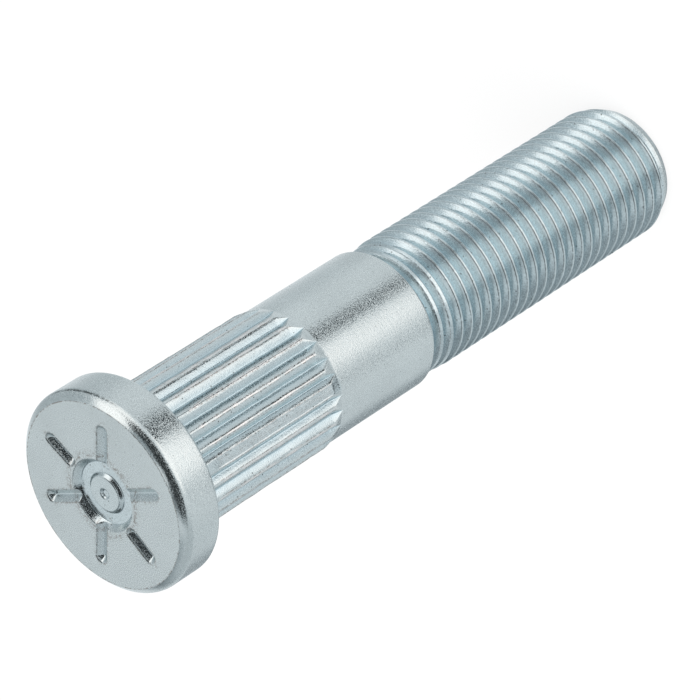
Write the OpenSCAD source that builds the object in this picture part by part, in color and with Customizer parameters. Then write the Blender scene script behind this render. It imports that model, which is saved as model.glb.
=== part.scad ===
// Drive-in wheel stud: one forged and rolled piece, standing on its threaded end.
// The axis is Z, with z = 0 at the threaded end and the head's face at the top.

/* [Thread] */
// Outside diameter of the half-inch thread with 20 turns to the inch
thread_d = 12.57; // [12.4:0.01:12.7]
// Rise of the thread in one turn
thread_pitch = 1.27; // [1:0.01:1.5]
// Length of the threaded end, up to the shoulder of the shank
thread_len = 33.6; // [25:0.1:60]
// Diameter of the flat on the threaded end, inside its chamfer
end_d = 11.1; // [10:0.1:12]

/* [Shank] */
// Diameter of the plain shank
shank_d = 13.04; // [12.9:0.01:13.2]
// Length of the plain shank, between the shoulder and the serrations
shank_len = 11.95; // [3:0.05:30]

/* [Serrations] */
// Diameter over the lands of the serrations, which bite into the hub
serration_d = 13.45; // [13.3:0.01:13.7]
// Length of the serrated part, up to the underside of the head
serration_len = 17.95; // [8:0.05:30]
// Number of grooves around the stud
groove_count = 25; // [16:1:26]
// Depth of a groove, below the lands
groove_depth = 0.56; // [0.3:0.01:0.6]
// Width of the land left between two grooves
land_w = 0.3; // [0.2:0.01:0.4]
// Length over which the lands and grooves fade into the shank
serration_fade = 0.95; // [0.6:0.05:1.5]

/* [Head] */
// Diameter of the head
head_d = 18.4; // [17:0.1:22]
// Thickness of the head
head_h = 4.1; // [3:0.1:6]
// Radius of the rounded edge around the face
face_round = 0.65; // [0.3:0.05:1]
// Radius of the rounded edge around the underside
back_round = 0.35; // [0.2:0.05:0.6]

/* [Face] */
// Number of radial grade marks pressed into the face
mark_count = 6; // [3:1:6]
// Radius at which a mark begins
mark_in = 3.1; // [3:0.1:3.4]
// Radius at which a mark ends
mark_out = 6.7; // [5:0.1:7.5]
// Width of a mark at the face
mark_w = 0.9; // [0.6:0.05:1]
// Depth of a mark along its bottom
mark_depth = 0.42; // [0.3:0.02:0.5]
// Angle of the first mark around the face
mark_turn = 11.5; // [0:0.5:60]
// Radius of the round pocket at the face
pocket_r = 3.3; // [3:0.1:3.6]
// Depth of the pocket
pocket_depth = 0.6; // [0.4:0.05:0.9]
// Radius of the plain round button in the pocket, at its foot
button_r = 1.85; // [1.4:0.05:2.2]
// Height of the button above the pocket's floor
button_h = 0.3; // [0.2:0.02:0.35]

/* [Hidden] */
$fn = 96;

// Heights of the steps along the axis
shoulder_z = thread_len;
fade_z = shoulder_z + shank_len;
land_z = fade_z + serration_fade;
back_z = fade_z + serration_len;
top_z = back_z + head_h;

// Radii of the steps
thread_r = thread_d / 2;
shank_r = shank_d / 2;
land_r = serration_d / 2;
head_r = head_d / 2;
end_r = end_d / 2;

// The chamfer of the end takes up one turn and a quarter of the thread
lead_len = 1.25 * thread_pitch;
// Under the shoulder the blank shows for most of one turn, a quarter of a thread's height down
neck_len = 0.7 * thread_pitch;
neck_r = thread_r - 0.15 * thread_pitch;
neck_fade = 0.2 * thread_pitch;
// The shoulder's edge is broken by the rolling die
shoulder_round = 0.2;
// How far a groove's run-out reaches past the fade of the lands, at both of its ends
groove_lag = 0.12;
// Fillet where the serrations meet the head
root_fillet = 0.4;
// The grooves end this far under the head, within the fillet
groove_gap = 0.24;
// The pocket and the button have sloping sides, so that the punch lets go
pocket_draft = 0.4;
button_draft = 0.25;
// A small round dimple marks the centre of the button
dimple_r = 0.55;
dimple_depth = 0.16;

// Steps in which a rounded edge is turned
ARC_STEPS = 6;
// Overshoot of a cutting shape past the surface that it opens
CLEAR = 0.08;

// Points of an arc around [x, z], from one angle to another
function arc(x, z, r, from, to) =
    [for (i = [0:ARC_STEPS]) let (a = from + (to - from) * i / ARC_STEPS) [x + r * cos(a), z + r * sin(a)]];

// Half outline of the whole stud, from the threaded end up to the face
module outline() {
    polygon(concat(
        [[0, 0], [end_r, 0], [thread_r, lead_len]],
        [[thread_r, shoulder_z - neck_len - neck_fade], [neck_r, shoulder_z - neck_len]],
        [[neck_r, shoulder_z]],
        arc(shank_r - shoulder_round, shoulder_z + shoulder_round, shoulder_round, -90, 0),
        [[shank_r, fade_z], [land_r, land_z]],
        arc(land_r + root_fillet, back_z - root_fillet, root_fillet, 180, 90),
        arc(head_r - back_round, back_z + back_round, back_round, -90, 0),
        arc(head_r - face_round, top_z - face_round, face_round, 0, 90),
        [[0, top_z]]
    ));
}

// Section of one serration groove: a V with its root towards the axis, opening along X
module groove_section(root_r) {
    pitch_w = 2 * PI * land_r / groove_count;
    half_w = (pitch_w - land_w) / 2;
    reach = groove_depth + CLEAR;
    half_reach = half_w * reach / groove_depth;
    polygon([[root_r, 0], [root_r + reach, half_reach], [root_r + reach, -half_reach]]);
}

// One groove: a straight stretch, and a stretch whose root climbs out just past the last of the lands
module groove() {
    root_r = land_r - groove_depth;
    straight_top = back_z - groove_gap;
    climb_z = land_z + groove_lag;
    climb_len = serration_fade + 2 * groove_lag;
    climb = atan((shank_r - root_r) / climb_len);
    translate([0, 0, climb_z]) linear_extrude(straight_top - climb_z) groove_section(root_r);
    translate([root_r, 0, climb_z]) rotate([180, -climb, 0]) translate([0, 0, -CLEAR])
        linear_extrude(climb_len / cos(climb) + 2 * CLEAR) groove_section(0);
}

// One grade mark: a V along X in the face, with both ends sloping up to the surface
module grade_mark() {
    intersection() {
        rotate([90, 0, 0]) linear_extrude(2 * mark_w, center = true)
            polygon([
                [mark_in, top_z + CLEAR], [mark_out + CLEAR, top_z + CLEAR],
                [mark_out - mark_depth, top_z - mark_depth], [mark_in, top_z - mark_depth]
            ]);
        rotate([90, 0, 90]) linear_extrude(mark_out + CLEAR)
            polygon([
                [0, top_z - mark_depth],
                [mark_w / 2 + CLEAR, top_z + CLEAR * 2 * mark_depth / mark_w],
                [-mark_w / 2 - CLEAR, top_z + CLEAR * 2 * mark_depth / mark_w]
            ]);
    }
}

// The pocket in the middle of the face, around its plain round button
module pocket() {
    floor_z = top_z - pocket_depth;
    difference() {
        translate([0, 0, floor_z])
            cylinder(h = pocket_depth + CLEAR, r1 = pocket_r - pocket_draft,
                r2 = pocket_r + pocket_draft * CLEAR / pocket_depth);
        translate([0, 0, floor_z - CLEAR])
            cylinder(h = button_h + CLEAR, r1 = button_r + button_draft * CLEAR / button_h,
                r2 = button_r - button_draft);
    }
    translate([0, 0, floor_z + button_h - dimple_depth])
        cylinder(h = dimple_depth + CLEAR, r1 = dimple_r / 2, r2 = dimple_r);
}

// The stud: turned outline, rolled serrations, and the marks pressed into its face
module stud() {
    color("lightsteelblue") difference() {
        rotate_extrude() outline();
        for (i = [0:groove_count - 1]) rotate((i + 0.5) * 360 / groove_count) groove();
        for (i = [0:mark_count - 1]) rotate(mark_turn + i * 360 / mark_count) grade_mark();
        pocket();
    }
}

stud();
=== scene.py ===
"""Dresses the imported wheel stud: rolled thread, rolled serrations, stamped head and zinc plate."""

import math

import bpy
import numpy as np
from mathutils import Matrix, Vector


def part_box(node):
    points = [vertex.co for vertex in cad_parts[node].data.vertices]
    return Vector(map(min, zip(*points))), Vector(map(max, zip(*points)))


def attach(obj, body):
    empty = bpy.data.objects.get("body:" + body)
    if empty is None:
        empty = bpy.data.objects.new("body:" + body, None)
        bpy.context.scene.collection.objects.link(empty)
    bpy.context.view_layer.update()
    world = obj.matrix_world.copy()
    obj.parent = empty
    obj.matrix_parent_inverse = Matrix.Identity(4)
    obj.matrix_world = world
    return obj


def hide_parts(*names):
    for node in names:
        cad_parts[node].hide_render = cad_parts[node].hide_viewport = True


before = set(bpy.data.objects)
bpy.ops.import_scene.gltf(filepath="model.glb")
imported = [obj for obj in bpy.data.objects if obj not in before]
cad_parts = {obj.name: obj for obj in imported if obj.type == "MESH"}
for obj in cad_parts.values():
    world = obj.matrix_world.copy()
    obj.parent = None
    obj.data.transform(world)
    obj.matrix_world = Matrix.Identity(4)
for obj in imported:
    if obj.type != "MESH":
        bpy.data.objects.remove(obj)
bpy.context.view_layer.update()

# Sizes are in millimetres, and turned into metres when the mesh is made
MM = 0.001
low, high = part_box("stud")
TOP_Z = round(high.z / MM, 3)
HEAD_R = round(high.x / MM, 3)

# Heights, measured down from the head's face as in the solid
BACK_Z = TOP_Z - 4.1
LAND_Z = TOP_Z - 21.1
FADE_Z = TOP_Z - 22.05
SHOULDER_Z = TOP_Z - 34.0

# Thread: rounded crests and roots, between flanks at 30 degrees
THREAD_R = 6.285
PITCH = 1.27
ROOT_R = 5.505
FLANK_SLOPE = math.tan(math.radians(30))
# A crest is a narrow flat between a wide and a small round, and a dark line is painted along the wide one as its
# seam's shade and the round's dark reflection
CREST_FLAT = (-0.075, 0.03)
CREST_ROUNDS = (0.06, 0.14)
# How dark the painted seam line is at each step of the wide round
CREST_STEPS = ((0, 0.0), (20, 0.3), (34, 0.9), (48, 1.0), (60, 0.2))
# The painted seam line is strongest on this side of the stud, where the crests mirror dark, and fades away from it
SEAM_SHADE_SIDE = math.radians(-100)
ROOT_ROUND = 0.12
FIRST_CREST = 0.87
END_R = 5.55
LEAD_LEN = 1.5875
LEAD_FADE = (0.35, 1.5875)
THREAD_COLUMNS = 160

# Run-out: the last crests are lower, wider and parted by a seam, and the groove ends just under the shoulder
CREST_DROP = 0.17
CREST_FADE = (29.9, 31.4)
RUNOUT_SEAM = 0.06
GROOVE_RISE = 0.46
GROOVE_FADE = (33.15, 33.55)
NECK_R = 6.095

# Shank
SHANK_R = 6.52
SHOULDER_ROUND = 0.2

# Serrations: 25 grooves between 25 lands, one of which is wide and rippled
LAND_R = 6.725
GROOVES = 25
GROOVE_DEPTH = 0.56
LAND_HALF = math.radians(1.15)
LIP = math.radians(0.23)
LIP_DROP = 0.03
ROOT_SHARE = 0.16
WALL_LINES = (0.7, 0.52, 0.34)
WALL_HOLLOW = 0.08
WALL_RIPPLE = 0.02
SHALLOW_GROOVE = 22
SHALLOW_SHARE = 0.72
WIDE_LAND = 17
WIDE_HALF = math.radians(4.4)
WIDE_DIP = 0.05
RIPPLE = 0.035
CLIMB_Z = LAND_Z + 0.12
CLIMB_LEN = 1.19
FILLET = 0.4

# Head: the edge of the face is a worn cone between two rounded corners
HEAD_COLUMNS = 240
BACK_ROUND = 0.35
RIM_ROUND = 0.75
CONE_ROUND = 2.54
FACE_ROUND = 0.08
CONE_START = 42
CONE_END = 57
# Marks of a ring on the head: calm, stain, and scuff on one side of the edge
PLAIN = (0.0, 0.0, 0.0)
POLISHED = (1.0, 0.0, 0.0)
STAINED = (0.0, 1.0, 0.0)
SCUFFED = (0.0, 0.0, 1.0)
SCUFF_SIDE = math.radians(-28)

# Face: six grade marks around a pocket with a plain button
MARK_ANGLES = [math.radians(a) for a in (16.2, 70.0, 131.6, 188.5, 250.2, 312.7)]
MARK_STARTS = [4.0, 3.2, 3.0, 4.0, 3.0, 3.0]
MARK_OUT = 6.9
MARK_HALF = 0.57
MARK_DEPTH = 0.54
MARK_COLUMNS = (-0.7, -0.62, -0.56, -0.5, -0.44, -0.3, -0.15, -0.05, 0.05, 0.15, 0.3, 0.44, 0.5, 0.56, 0.62, 0.7)
GAP_COLUMNS = 14
POCKET_R = 3.3
POCKET_DRAFT = 0.45
POCKET_DEPTH = 0.6
BUTTON_R = 1.85
BUTTON_DRAFT = 0.25
BUTTON_H = 0.3
DIMPLE_R = 0.55
DIMPLE_DEPTH = 0.16
SOFTNESS = 0.06

rng = np.random.default_rng(20)


def smooth(x, start, end):
    """0 at start, 1 at end, with a soft ramp between them."""
    t = np.clip((np.asarray(x, float) - start) / (end - start), 0, 1)
    return t * t * (3 - 2 * t)


def wander(z, step):
    """A soft random curve along z, between -1 and 1, with a new value at each step."""
    count = int((z[-1] - z[0]) / step) + 3
    values = rng.uniform(-1, 1, count)
    place = (z - z[0]) / step
    i = place.astype(int)
    t = smooth(place - i, 0, 1)
    return values[i] * (1 - t) + values[i + 1] * t


# Marks of a point: pressed in (painted shade), on a land, stained, on a seam (painted dark line), and calmer in its
# grain
MARKS = ("recess", "land", "stain", "seam", "calm")


class Skin:
    """Collects points and faces of one closed surface. Each point carries the marks."""

    def __init__(self):
        self.points = []
        self.marks = []
        self.faces = []

    def ring(self, radius, angle, z, recess=0.0, land=0.0, stain=0.0, seam=0.0, calm=0.0):
        """Adds one ring of points, and returns their numbers and angles."""
        values = map(np.asarray, (radius, angle, z, recess, land, stain, seam, calm))
        radius, angle, z, *marks = np.broadcast_arrays(*values)
        first = len(self.points)
        self.points.extend(zip(radius * np.cos(angle), radius * np.sin(angle), z))
        self.marks.extend(zip(*marks))
        return list(range(first, len(self.points))), angle.tolist()

    def face(self, *corners):
        """Adds a face, leaving out corners that fall together."""
        kept = [c for i, c in enumerate(corners) if c != corners[i - 1]]
        if len(set(kept)) > 2:
            self.faces.append(kept)

    def join(self, lower, upper):
        """Closes the band between two rings, whatever their counts."""
        (a, a_angle), (b, b_angle) = lower, upper
        if len(a) == len(b):
            for i in range(len(a)):
                j = (i + 1) % len(a)
                self.face(a[i], a[j], b[j], b[i])
            return
        turn = 2 * math.pi
        i = j = 0
        while i < len(a) or j < len(b):
            next_a = a_angle[(i + 1) % len(a)] + turn * ((i + 1) // len(a))
            next_b = b_angle[(j + 1) % len(b)] + turn * ((j + 1) // len(b))
            if j == len(b) or (i < len(a) and next_a <= next_b):
                self.face(a[i], a[(i + 1) % len(a)], b[j % len(b)])
                i += 1
            else:
                self.face(a[i % len(a)], b[(j + 1) % len(b)], b[j])
                j += 1

    def cap(self, ring, z, upward):
        """Closes a ring with one point in its middle."""
        centre = self.ring(0.0, [0.0], z)[0][0]
        numbers = ring[0]
        for i in range(len(numbers)):
            pair = (numbers[i], numbers[(i + 1) % len(numbers)])
            self.face(centre, *(pair if upward else pair[::-1]))


def turned_angles(count):
    return np.arange(count) * 2 * math.pi / count


def thread_profile():
    """One turn, from a crest to the next: offsets, radii, sliding sides, which points are of a crest, and the painted
    seam shade.
    """
    near = [(math.radians(a), dark) for a, dark in CREST_STEPS]
    far = [math.radians(a) for a in (60, 30, 0)]
    rows = []
    for a, dark in near:
        side = 1 if a > near[2][0] else 0
        offset = CREST_FLAT[1] + CREST_ROUNDS[1] * math.sin(a)
        rows.append((offset, THREAD_R - CREST_ROUNDS[1] * (1 - math.cos(a)), side, True, dark))
    for a, side in zip(far + far[1::-1], (1, 1, 0, -1, -1)):
        offset = PITCH / 2 - side * ROOT_ROUND * math.sin(a)
        rows.append((offset, ROOT_R + ROOT_ROUND * (1 - math.cos(a)), side, False, 0.0))
    for a in far:
        offset = PITCH + CREST_FLAT[0] - CREST_ROUNDS[0] * math.sin(a)
        rows.append((offset, THREAD_R - CREST_ROUNDS[0] * (1 - math.cos(a)), -1, True, 0.0))
    return rows


def thread_point(row, z):
    """Radius and height of one point of the turn at each height, and how far the chamfer leaves it as rolled."""
    offset, radius, side, on_crest, _ = row
    if on_crest:
        share = smooth(z, *CREST_FADE)
        radius = radius - share * (CREST_DROP + RUNOUT_SEAM * (side == 0))
        z = z + side * share * CREST_DROP * FLANK_SLOPE
    else:
        rise = GROOVE_RISE * smooth(z, *GROOVE_FADE)
        radius = radius + rise
        z = z - side * rise * FLANK_SLOPE
    chamfer = END_R + (THREAD_R - END_R) * z / LEAD_LEN
    rolled = smooth(z, *LEAD_FADE)
    return chamfer - rolled * np.maximum(chamfer - radius, 0), z, rolled


def build_thread(skin):
    """The right-hand thread as one winding sheet. Returns its rings at the end and under the shoulder."""
    profile = thread_profile()
    samples = len(profile)
    angle = turned_angles(THREAD_COLUMNS)
    climb = FIRST_CREST + PITCH * angle / (2 * math.pi)
    end = skin.ring(end_radius(profile, angle), angle, 0.0)
    top = skin.ring(NECK_R, angle, SHOULDER_Z)
    edge = 0.012
    rows = []
    for turn in range(-2, int(SHOULDER_Z / PITCH) + 2):
        for row in profile:
            radius, z, rolled = thread_point(row, climb + turn * PITCH + row[0])
            # Painted shade: the deeper in the groove, the more of the darker, bluer plate
            recess = rolled * (0.4 + 0.6 * (THREAD_R - row[1]) / (THREAD_R - ROOT_R))
            inside = (z > edge) & (z < SHOULDER_Z - edge)
            numbers = np.where(z <= edge, end[0], top[0])
            # Painted shade and dark reflection along the crests, faded away from one side
            seam = row[4] * smooth(np.cos(angle - SEAM_SHADE_SIDE), 0.45, 0.95)
            radius, z, recess, seam, rolled = (a[inside] for a in (radius, z, recess, seam, rolled))
            numbers[inside] = skin.ring(radius, angle[inside], z, recess, 0.0, 0.0, seam, rolled)[0]
            rows.append(numbers)
    for r in range(len(rows) - 1 - samples):
        here, above = rows[r], rows[r + 1]
        for j in range(THREAD_COLUMNS - 1):
            skin.face(here[j], here[j + 1], above[j + 1], above[j])
        skin.face(here[-1], rows[r + samples][0], rows[r + samples + 1][0], above[-1])
    return end, top


def end_radius(profile, angle):
    """Radius around the flat end, where the thread's grooves run out of it."""
    offsets = [row[0] for row in profile] + [PITCH + profile[0][0]]
    radii = [row[1] for row in profile] + [profile[0][1]]
    place = offsets[0] + (-FIRST_CREST - offsets[0] - PITCH * angle / (2 * math.pi)) % PITCH
    return np.minimum(np.interp(place, offsets, radii), END_R)


def outline_radius(z):
    """Radius of the serrated band before its grooves are rolled."""
    ramp = SHANK_R + (LAND_R - SHANK_R) * np.clip((z - FADE_Z) / (LAND_Z - FADE_Z), 0, 1)
    rise = np.clip(z - (BACK_Z - FILLET), 0, FILLET)
    return ramp + FILLET - np.sqrt(FILLET**2 - rise**2)


def serration_rows():
    """Heights of the rings of the serrated band, close together where its shape changes."""
    fade = np.linspace(CLIMB_Z - CLIMB_LEN, CLIMB_Z, 9)
    plain = np.linspace(CLIMB_Z + 0.2, BACK_Z - FILLET - 0.25, 26)
    fillet = BACK_Z - FILLET * (1 - np.sin(np.radians([0, 22, 45, 67, 90])))
    return np.concatenate([fade, plain, fillet])


def land_columns(k, half, z, body_r, worn, held):
    """The top of one land: its middle, or the ripples of the wide one."""
    middle = 2 * math.pi * k / GROOVES
    if k != WIDE_LAND:
        return [(middle + 0 * z, body_r - worn * held, 0.0, 1.0, 0.0)]
    columns = []
    for i, share in enumerate(np.linspace(-0.84, 0.84, 11)):
        dip = WIDE_DIP + RIPPLE * (i % 2) * (1 + 0.5 * wander(z, 1.5))
        columns.append((middle + share * half + 0.004 * wander(z, 1.2) * held, body_r - dip * held, 0.3, 0.15, 0.35 * (i % 2)))
    return columns


def groove_columns(start, end, full_depth, body_r, body_marks, z, closing):
    """One V groove with a rounded root, between two angles."""
    usual = 2 * math.pi / GROOVES - 2 * LAND_HALF
    root = (start + end) / 2
    depth = full_depth * ((end - start) / usual) ** 0.8 * closing
    climbing = np.clip((CLIMB_Z - z) / CLIMB_LEN, 0, 1)
    deepest = LAND_R - depth
    root_r = np.where(z < CLIMB_Z, deepest + (SHANK_R - deepest) * climbing, body_r - depth)
    drop = np.maximum(body_r - root_r, 0)
    narrow = np.maximum(drop / np.maximum(depth, 1e-6), 0.02)
    narrow = np.where(closing < 1, 1, narrow)
    reach = (end - start) / 2 * narrow
    lip = np.minimum(LIP, reach / 3)
    low, high = body_marks
    columns = [(root - reach - lip, body_r - low, 0.0, 1.0, 0.0)]
    # This column and its mirror at the far edge carry a thin dark brown line: partly a stain, partly painted shade
    columns.append((root - reach, body_r - LIP_DROP * narrow - low, 0.1, 0.3, 1.0))
    wall = (0.86,) + WALL_LINES + (ROOT_SHARE, ROOT_SHARE / 2)
    for x in [-x for x in wall] + [0] + list(wall[::-1]):
        share = 1 - max(abs(x), ROOT_SHARE)
        share *= 1 - WALL_HOLLOW * (1 - share / (1 - ROOT_SHARE))
        if abs(x) < ROOT_SHARE:
            share += (ROOT_SHARE - x * x / ROOT_SHARE) / 2
        rolled = share + WALL_RIPPLE * wander(z, 1.0) * (abs(x) in WALL_LINES)
        # Painted shade: the wall's plate is drawn darker and bluer by its depth
        columns.append((root + x * reach, body_r - drop * rolled, share, 0.0, 0.0))
    columns.append((root + reach, body_r - LIP_DROP * narrow - high, 0.1, 0.3, 1.0))
    columns.append((root + reach + lip, body_r - high, 0.0, 1.0, 0.0))
    return columns


def build_serrations(skin):
    """Lands and V grooves. Returns the lowest and the highest ring."""
    z = serration_rows()
    tooth = 2 * math.pi / GROOVES
    body_r = outline_radius(z)
    held = smooth(z, LAND_Z - 0.3, LAND_Z + 0.6) * (1 - smooth(z, BACK_Z - 3.2, BACK_Z - 2.6))
    closing = 1 - smooth(z, BACK_Z - FILLET - 0.2, BACK_Z - 0.1)
    half = [WIDE_HALF if k == WIDE_LAND else LAND_HALF * rng.uniform(0.8, 1.2) for k in range(GROOVES)]
    worn = [0.02 + 0.02 * wander(z, 0.7) for k in range(GROOVES)]
    left = [half[k] + 0.004 * wander(z, 0.9) * held for k in range(GROOVES)]
    right = [half[k] + 0.004 * wander(z, 0.9) * held for k in range(GROOVES)]
    columns = []
    for k in range(GROOVES):
        after = (k + 1) % GROOVES
        columns += land_columns(k, half[k], z, body_r, worn[k], held)
        start = k * tooth + right[k]
        end = (k + 1) * tooth - left[after]
        depth = GROOVE_DEPTH * (SHALLOW_SHARE if k == SHALLOW_GROOVE else 1)
        columns += groove_columns(start, end, depth, body_r, (worn[k] * held, worn[after] * held), z, closing)
    angle, radius = (np.array([c[i] for c in columns]) for i in (0, 1))
    recess, land, stain = (np.array([c[i] for c in columns]) for i in (2, 3, 4))
    rings = []
    for i in range(len(z)):
        pressed = float(held[i])
        marks = (recess, land * pressed, stain * pressed, 0.0, 0.35)
        rings.append(skin.ring(radius[:, i], angle[:, i], z[i], *marks))
    for below, above in zip(rings, rings[1:]):
        skin.join(below, above)
    return rings[0], rings[-1]


def build_shank(skin, neck, serrations):
    """The shoulder and the plain shank, from the thread's neck to the serrations."""
    angle = turned_angles(THREAD_COLUMNS)
    shape = [(SHANK_R - SHOULDER_ROUND, SHOULDER_Z)]
    for a in np.radians([22.5, 45, 67.5, 90]):
        shape.append((SHANK_R - SHOULDER_ROUND * (1 - math.sin(a)), SHOULDER_Z + SHOULDER_ROUND * (1 - math.cos(a))))
    last = CLIMB_Z - CLIMB_LEN - 0.15
    shape += [(SHANK_R, z) for z in np.linspace(shape[-1][1], last, 6)[1:]]
    below = neck
    for radius, z in shape:
        ring = skin.ring(radius, angle, z)
        skin.join(below, ring)
        below = ring
    skin.join(below, serrations)


def turn_corner(shape, radius, start, end, step, marks=PLAIN):
    """Adds a rounded corner to an outline, between two directions of its normal in whole degrees."""
    r, z, _ = shape[-1]
    centre_r = r - radius * math.cos(math.radians(start))
    centre_z = z - radius * math.sin(math.radians(start))
    for degrees in range(start + step, end + 1, step):
        a = math.radians(degrees)
        shape.append((centre_r + radius * math.cos(a), centre_z + radius * math.sin(a), marks))


def soften(depth):
    """Rounds the edge where a pressed shape breaks the surface."""
    return 0.5 * (depth + np.sqrt(depth**2 + SOFTNESS**2))


def soft_step(depth, full):
    """A pressed step with a straight wall and two rounded edges, between the surface and its full depth."""
    return soften(depth) - soften(depth - full)


def face_depth(radius, angle):
    """How deep the face is pressed in at each point, and where its edges are stained."""
    marks = np.zeros_like(radius)
    stain = np.maximum(np.exp(-(((radius - 3.62) / 0.07) ** 2)), 0.5 * np.exp(-(((radius - 3.75) / 0.3) ** 2)))
    for mark, start in zip(MARK_ANGLES, MARK_STARTS):
        along = radius * np.cos(angle - mark)
        across = radius * np.sin(angle - mark)
        beyond = np.maximum(np.maximum(along - (MARK_OUT - MARK_HALF), start - along), 0)
        away = np.hypot(across, beyond)
        groove = MARK_DEPTH * (1 - away / MARK_HALF)
        marks = np.maximum(marks, soften(np.minimum(groove, MARK_DEPTH - 0.05)) * smooth(away, 0.75, 0.65))
        stain = np.maximum(stain, 0.8 * np.exp(-(((away - 0.62) / 0.07) ** 2)))
    pocket = soft_step((POCKET_R - radius) * POCKET_DEPTH / POCKET_DRAFT, POCKET_DEPTH)
    button = soft_step((BUTTON_R - radius) * BUTTON_H / BUTTON_DRAFT, BUTTON_H)
    dimple = DIMPLE_DEPTH * (1 - smooth(radius, DIMPLE_R / 2, DIMPLE_R))
    inside = smooth(radius, 3.9, 3.7)
    return np.maximum(marks, pocket * inside - button * smooth(radius, 2.4, 2.2) + dimple), stain


def face_angles(radius):
    """Columns of the face: at fixed distances beside each mark, and evenly spread between the marks."""
    radius = max(radius, 3.0)
    angles = []
    count = len(MARK_ANGLES)
    beside = [math.asin(x / radius) for x in MARK_COLUMNS]
    for i, mark in enumerate(MARK_ANGLES):
        angles += [mark + b for b in beside]
        following = MARK_ANGLES[(i + 1) % count] + 2 * math.pi * (i + 1 == count)
        gap = np.linspace(mark + beside[-1], following + beside[0], GAP_COLUMNS + 2)
        angles += gap[1:-1].tolist()
    return np.array(angles)


def face_radii():
    """Radii of the face's rings, close together where its shape changes."""
    parts = [(7.6, 7.0, 2), (6.92, 6.1, 13), (5.9, 4.7, 4), (4.5, 3.8, 6), (3.74, 2.7, 18)]
    parts += [(2.5, 2.1, 3), (2.0, 1.45, 9), (1.2, 0.7, 3), (0.6, 0.15, 7)]
    return np.concatenate([np.linspace(*part) for part in parts])


def build_head(skin, below):
    """The head from the fillet to the middle of its face."""
    shape = [(7.6, BACK_Z, PLAIN), (HEAD_R - BACK_ROUND, BACK_Z, PLAIN)]
    turn_corner(shape, BACK_ROUND, -90, 0, 18)
    cone = [(HEAD_R, 0.0, PLAIN)]
    turn_corner(cone, RIM_ROUND, 0, 14, 7)
    turn_corner(cone, RIM_ROUND, 14, 28, 7, SCUFFED)
    turn_corner(cone, RIM_ROUND, 28, CONE_START, 7)
    turn_corner(cone, CONE_ROUND, CONE_START, CONE_END, 5, POLISHED)
    turn_corner(cone, FACE_ROUND, CONE_END, 90, 11, STAINED)
    lift = TOP_Z - cone[-1][1]
    shape += [(HEAD_R, z, PLAIN) for z in np.linspace(shape[-1][1], lift, 6)[1:-1]]
    shape += [(r, z + lift, marks) for r, z, marks in cone]
    shape.append((cone[-1][0] - 0.09, TOP_Z, PLAIN))
    angle = turned_angles(HEAD_COLUMNS)
    scuffed = smooth(np.cos(angle - SCUFF_SIDE), 0.87, 0.97)
    for radius, z, (calm, stain, scuff) in shape:
        ring = skin.ring(radius, angle, z, 0.0, 0.0, stain, scuff * scuffed, calm)
        skin.join(below, ring)
        below = ring
    for radius in face_radii():
        angle = face_angles(radius)
        depth, stain = face_depth(np.full(len(angle), radius), angle)
        pressed = np.clip(depth / POCKET_DEPTH, 0, 1)
        # Painted shade: the pressed face is drawn darker and bluer by its depth
        ring = skin.ring(radius, angle, TOP_Z - depth, 0.35 * pressed, 0.0, stain, 0.0, np.sqrt(pressed))
        skin.join(below, ring)
        below = ring
    skin.cap(below, TOP_Z - POCKET_DEPTH + BUTTON_H - DIMPLE_DEPTH, upward=True)


def set_normals(mesh):
    """Gives each point the mean normal of its faces, weighted by their areas, so that wide faces stay flat."""
    count = len(mesh.polygons)
    normals = np.empty(3 * count)
    areas = np.empty(count)
    corners = np.empty(count, int)
    points = np.empty(len(mesh.loops), int)
    mesh.polygons.foreach_get("normal", normals)
    mesh.polygons.foreach_get("area", areas)
    mesh.polygons.foreach_get("loop_total", corners)
    mesh.loops.foreach_get("vertex_index", points)
    weighted = normals.reshape(-1, 3) * areas[:, None]
    sums = np.zeros((len(mesh.vertices), 3))
    np.add.at(sums, points, np.repeat(weighted, corners, axis=0))
    lengths = np.linalg.norm(sums, axis=1, keepdims=True)
    mesh.normals_split_custom_set_from_vertices(sums / np.maximum(lengths, 1e-20))


def build_stud():
    """One closed mesh of the whole stud, in metres."""
    skin = Skin()
    end, neck = build_thread(skin)
    inner = skin.ring(END_R * 0.6, turned_angles(THREAD_COLUMNS), 0.0)
    skin.join(inner, end)
    skin.cap(inner, 0.0, upward=False)
    bottom, top = build_serrations(skin)
    build_shank(skin, neck, bottom)
    build_head(skin, top)
    mesh = bpy.data.meshes.new("zinc_stud")
    mesh.from_pydata([(x * MM, y * MM, z * MM) for x, y, z in skin.points], [], skin.faces)
    for name, values in zip(MARKS, np.array(skin.marks).T):
        mesh.attributes.new(name, "FLOAT", "POINT").data.foreach_set("value", values)
    mesh.validate()
    mesh.shade_smooth()
    set_normals(mesh)
    stud = bpy.data.objects.new("zinc_stud", mesh)
    bpy.context.scene.collection.objects.link(stud)
    return stud


def add(tree, kind, **values):
    """Adds a node, with its settings and unlinked inputs."""
    node = tree.nodes.new(kind)
    for name, value in values.items():
        if hasattr(node, name):
            setattr(node, name, value)
        else:
            node.inputs[name.replace("_", " ")].default_value = value
    return node


# Colours of the plate
PLATE = (0.630, 0.680, 0.680, 1)
# Painted shade: a darker, bluer plate, laid on more strongly the deeper a point lies
PLATE_DEEP_SHADE = (0.535, 0.652, 0.695, 1)
PLATE_LAND = (0.770, 0.755, 0.740, 1)
# Brown: stains on the head's face, and also painted shade in the thin line along each serration edge
PLATE_STAIN_AND_SHADE = (0.200, 0.165, 0.140, 1)
# Near-black: a painted line of shade and dark reflection along the thread's crests, and a scuff on the head's rim
PLATE_SEAM_SHADE_AND_SCUFF = (0.070, 0.080, 0.080, 1)
PLATE_SPECK = (0.080, 0.090, 0.090, 1)


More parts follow.
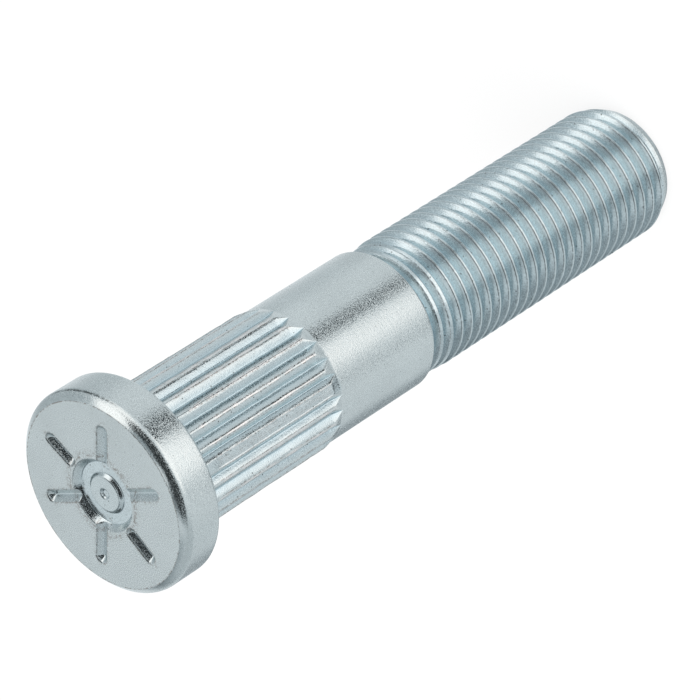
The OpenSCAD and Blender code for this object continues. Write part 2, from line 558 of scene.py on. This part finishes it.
def noise(tree, place, scale, detail=2.0, stretch=None):
    """A noise value over the object, stretched along its axes where told."""
    link = tree.links.new
    if stretch:
        mapping = add(tree, "ShaderNodeMapping")
        mapping.inputs["Scale"].default_value = stretch
        link(place, mapping.inputs["Vector"])
        place = mapping.outputs["Vector"]
    texture = add(tree, "ShaderNodeTexNoise", Scale=scale, Detail=detail)
    link(place, texture.inputs["Vector"])
    return texture.outputs["Fac"]


def ranged(tree, value, start, end, low=0.0, high=1.0, interpolation_type="LINEAR"):
    """The value carried from one range into another, and held inside it."""
    node = add(tree, "ShaderNodeMapRange", interpolation_type=interpolation_type)
    for name, number in (("From Min", start), ("From Max", end), ("To Min", low), ("To Max", high)):
        node.inputs[name].default_value = number
    tree.links.new(value, node.inputs["Value"])
    return node.outputs["Result"]


def product(tree, a, b):
    """Two values multiplied."""
    node = add(tree, "ShaderNodeMath", operation="MULTIPLY")
    tree.links.new(a, node.inputs[0])
    tree.links.new(b, node.inputs[1])
    return node.outputs["Value"]


def blend(tree, share, a, b, blend_type="MIX"):
    """Colour a, changed towards colour b by the share. Each of the three is a value or an output."""
    node = add(tree, "ShaderNodeMix", data_type="RGBA", blend_type=blend_type)
    for name, value in (("Factor", share), ("A", a), ("B", b)):
        if isinstance(value, (tuple, float)):
            node.inputs[name].default_value = value
        else:
            tree.links.new(value, node.inputs[name])
    return node.outputs["Result"]


def mark(tree, name):
    """One of the marks that the mesh carries."""
    return add(tree, "ShaderNodeAttribute", attribute_name=name).outputs["Fac"]


def speck_share(tree, place):
    """Small dark pits in the plate, far apart."""
    cells = add(tree, "ShaderNodeTexVoronoi", Scale=1400.0)
    tree.links.new(place, cells.inputs["Vector"])
    return ranged(tree, cells.outputs["Distance"], 0.11, 0.06)


def zinc_material():
    """Bright zinc plate with a fine grain, specks and thin brown stains, and painted shade in recesses and on seams.
    """
    material = bpy.data.materials.new("zinc_plate")
    material.use_nodes = True
    tree = material.node_tree
    tree.nodes.clear()
    link = tree.links.new
    place = add(tree, "ShaderNodeTexCoord").outputs["Object"]
    shader = add(tree, "ShaderNodeBsdfPrincipled", Metallic=1.0)
    link(shader.outputs[0], add(tree, "ShaderNodeOutputMaterial").inputs[0])

    cloud = noise(tree, place, 260.0, 3.0)
    grain = noise(tree, place, 7500.0)
    pixel = noise(tree, place, 12500.0, 0.0)
    turning = noise(tree, place, 1.0, 2.0, (450.0, 450.0, 9000.0))
    streaks = noise(tree, place, 1.0, 2.0, (4200.0, 4200.0, 900.0))
    breaks = noise(tree, place, 4800.0, 2.0)
    specks = speck_share(tree, place)

    # Painted shade: darker and bluer by the depth of the recess
    colour = blend(tree, mark(tree, "recess"), PLATE, PLATE_DEEP_SHADE)
    colour = blend(tree, 1.0, colour, ranged(tree, cloud, 0.3, 0.7, 0.94, 1.0), "MULTIPLY")
    colour = blend(tree, product(tree, mark(tree, "land"), ranged(tree, streaks, 0.40, 0.55)), colour, PLATE_LAND)
    # Brown stains, which also paint the shade line along the serration edges
    colour = blend(tree, product(tree, mark(tree, "stain"), ranged(tree, breaks, 0.45, 0.58, 0.0, 0.9)), colour, PLATE_STAIN_AND_SHADE)
    # Painted shade and dark reflection: a broken near-black line along the crests, and the rim's scuff
    colour = blend(tree, product(tree, mark(tree, "seam"), ranged(tree, breaks, 0.34, 0.58, 0.0, 0.9)), colour, PLATE_SEAM_SHADE_AND_SCUFF)
    colour = blend(tree, 1.0, colour, ranged(tree, pixel, 0.25, 0.75, 0.77, 1.11), "MULTIPLY")
    dotted = ranged(tree, mark(tree, "recess"), 0.0, 0.25, 0.4, 1.0)
    colour = blend(tree, product(tree, specks, dotted), colour, PLATE_SPECK)
    link(colour, shader.inputs["Base Color"])
    grainy = ranged(tree, mark(tree, "calm"), 0.0, 1.0, 1.0, 0.4)
    rough = product(tree, ranged(tree, pixel, 0.48, 0.66), grainy)
    link(ranged(tree, rough, 0.0, 1.0, 0.11, 0.50), shader.inputs["Roughness"])

    height = add(tree, "ShaderNodeMath", operation="MULTIPLY_ADD")
    link(turning, height.inputs[0])
    height.inputs[1].default_value = 0.4
    link(grain, height.inputs[2])
    bump = add(tree, "ShaderNodeBump", Strength=1.0, Distance=0.000015)
    link(product(tree, height.outputs["Value"], grainy), bump.inputs["Height"])
    link(bump.outputs["Normal"], shader.inputs["Normal"])
    return material


# The photograph's camera, in the frame of the stud
CAMERA_PLACE = Vector((0.0, -288.7, 271.3)) * MM
CAMERA_RIGHT = Vector((-0.53805, -0.53108, -0.65456))
CAMERA_UP = Vector((0.84291, -0.33680, -0.41962))
CAMERA_BACK = Vector((0.00240, -0.77751, 0.62887))
LENS = 224.75


def make_camera():
    data = bpy.data.cameras.new("camera")
    data.sensor_width = 36
    data.lens = LENS
    camera = bpy.data.objects.new("camera", data)
    axes = Matrix((CAMERA_RIGHT, CAMERA_UP, CAMERA_BACK)).transposed().to_4x4()
    camera.matrix_world = Matrix.Translation(CAMERA_PLACE) @ axes
    bpy.context.scene.collection.objects.link(camera)
    bpy.context.scene.camera = camera


def in_photo(right, up, back):
    """A direction in the room, from its parts along the photograph's right, up and towards its camera."""
    return (CAMERA_RIGHT * right + CAMERA_UP * up + CAMERA_BACK * back).normalized()


# What the plate mirrors: a white tent with large bright panels, and dark gaps around the camera and beside the panels.
# Each is a direction, the angles at which it is whole and gone, and its brightness. Later ones cover earlier ones.
ROOM = [
    ("ceiling", in_photo(-0.54, 0.72, 0.45), 14, 40, 1.60),
    ("left_wall", in_photo(-0.75, 0.55, -0.37), 24, 53, 0.60),
    ("below", in_photo(-0.22, -0.95, -0.22), 10, 39, 0.14),
    ("behind", in_photo(0.33, -0.17, -0.93), 4, 26, 0.34),
    ("right_wall", in_photo(0.66, 0.35, -0.66), 14, 40, 0.65),
    ("left_panel", in_photo(-0.68, 0.31, 0.66), 23, 28, 1.60),
    ("right_panel", in_photo(0.76, 0.32, 0.57), 25, 29, 1.60),
    ("camera", in_photo(-0.28, 0.06, 0.96), 24, 28, 0.04),
    ("beside_camera", in_photo(-0.67, -0.20, 0.71), 11, 18, 0.52),
    ("under_camera", in_photo(0.07, -0.53, 0.84), 19, 31, 0.04),
    ("low_left_panel", in_photo(-0.51, -0.48, 0.72), 10, 16, 1.15),
    ("upper_gap", in_photo(0.50, 0.82, 0.27), 9, 14, 0.04),
    ("edge_gap", in_photo(0.97, 0.03, -0.22), 4, 10, 0.04),
    ("low_right", in_photo(0.38, -0.91, -0.14), 22, 49, 0.69),
    ("low_left_gap", in_photo(-0.79, -0.45, 0.40), 19, 28, 0.04),
]
TENT = 0.93
# The dark parts of the room are slightly blue and the bright ones slightly yellow
ROOM_DARK = (0.86, 1.0, 1.08, 1)
ROOM_BRIGHT = (1.03, 1.0, 0.99, 1)
# Plain soft light on everything that isn't a mirror
SOFT_LIGHT = 1.0


def room_level(tree):
    """How bright the room is in each direction."""
    direction = add(tree, "ShaderNodeTexCoord").outputs["Generated"]
    level = TENT
    for name, towards, whole, gone, brightness in ROOM:
        dot = add(tree, "ShaderNodeVectorMath", operation="DOT_PRODUCT", label=name)
        dot.inputs[1].default_value = towards
        tree.links.new(direction, dot.inputs[0])
        limits = (math.cos(math.radians(gone)), math.cos(math.radians(whole)))
        share = ranged(tree, dot.outputs["Value"], *limits, interpolation_type="SMOOTHSTEP")
        mix = add(tree, "ShaderNodeMix", data_type="FLOAT", B=brightness)
        if isinstance(level, float):
            mix.inputs["A"].default_value = level
        else:
            tree.links.new(level, mix.inputs["A"])
        tree.links.new(share, mix.inputs["Factor"])
        level = mix.outputs["Result"]
    return level


def light_room():
    """The world: white behind the stud, the room in what the plate mirrors, and plain soft light on the floor."""
    world = bpy.data.worlds.new("studio")
    bpy.context.scene.world = world
    world.use_nodes = True
    tree = world.node_tree
    tree.nodes.clear()
    link = tree.links.new
    level = room_level(tree)
    room = add(tree, "ShaderNodeBackground")
    link(blend(tree, ranged(tree, level, 0.2, 1.6), ROOM_DARK, ROOM_BRIGHT), room.inputs["Color"])
    link(level, room.inputs["Strength"])
    white = add(tree, "ShaderNodeBackground", Color=(1, 1, 1, 1), Strength=1.0)
    soft = add(tree, "ShaderNodeBackground", Color=(1, 1, 1, 1), Strength=SOFT_LIGHT)
    path = add(tree, "ShaderNodeLightPath")
    result = soft.outputs[0]
    for kind, source in (("Is Glossy Ray", room), ("Is Camera Ray", white), ("Is Transmission Ray", white)):
        choose = add(tree, "ShaderNodeMixShader")
        link(path.outputs[kind], choose.inputs[0])
        link(result, choose.inputs[1])
        link(source.outputs[0], choose.inputs[2])
        result = choose.outputs[0]
    link(result, add(tree, "ShaderNodeOutputWorld").inputs[0])


def make_floor():
    """A plain white floor that keeps a faint shadow."""
    size = 2.0
    mesh = bpy.data.meshes.new("floor")
    mesh.from_pydata([(-size, -size, 0), (size, -size, 0), (size, size, 0), (-size, size, 0)], [], [(0, 1, 2, 3)])
    floor = bpy.data.objects.new("floor", mesh)
    bpy.context.scene.collection.objects.link(floor)
    material = bpy.data.materials.new("floor_white")
    material.use_nodes = True
    tree = material.node_tree
    tree.nodes.clear()
    link = tree.links.new
    paper = add(tree, "ShaderNodeBsdfDiffuse", Color=(0.9, 0.9, 0.9, 1))
    glow = add(tree, "ShaderNodeEmission", Color=(1, 1, 1, 1), Strength=1.0)
    path = add(tree, "ShaderNodeLightPath")
    share = add(tree, "ShaderNodeMath", operation="MULTIPLY")
    share.inputs[1].default_value = 0.8
    link(path.outputs["Is Camera Ray"], share.inputs[0])
    mix = add(tree, "ShaderNodeMixShader")
    link(share.outputs[0], mix.inputs[0])
    link(paper.outputs[0], mix.inputs[1])
    link(glow.outputs[0], mix.inputs[2])
    link(mix.outputs[0], add(tree, "ShaderNodeOutputMaterial").inputs[0])
    mesh.materials.append(material)
    floor.visible_glossy = False


def make_lamp():
    """One large soft lamp over the floor."""
    data = bpy.data.lights.new("soft_lamp", "AREA")
    data.size = 0.8
    data.energy = 6.0
    lamp = bpy.data.objects.new("soft_lamp", data)
    lamp.location = (-0.3, -0.4, 0.9)
    lamp.rotation_euler = (-lamp.location).to_track_quat("-Z", "Y").to_euler()
    lamp.visible_glossy = False
    bpy.context.scene.collection.objects.link(lamp)


stud = build_stud()
stud.data.materials.append(zinc_material())
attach(stud, "root")
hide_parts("stud")
make_camera()
light_room()
make_floor()
make_lamp()
bpy.context.scene.view_settings.view_transform = "Standard"
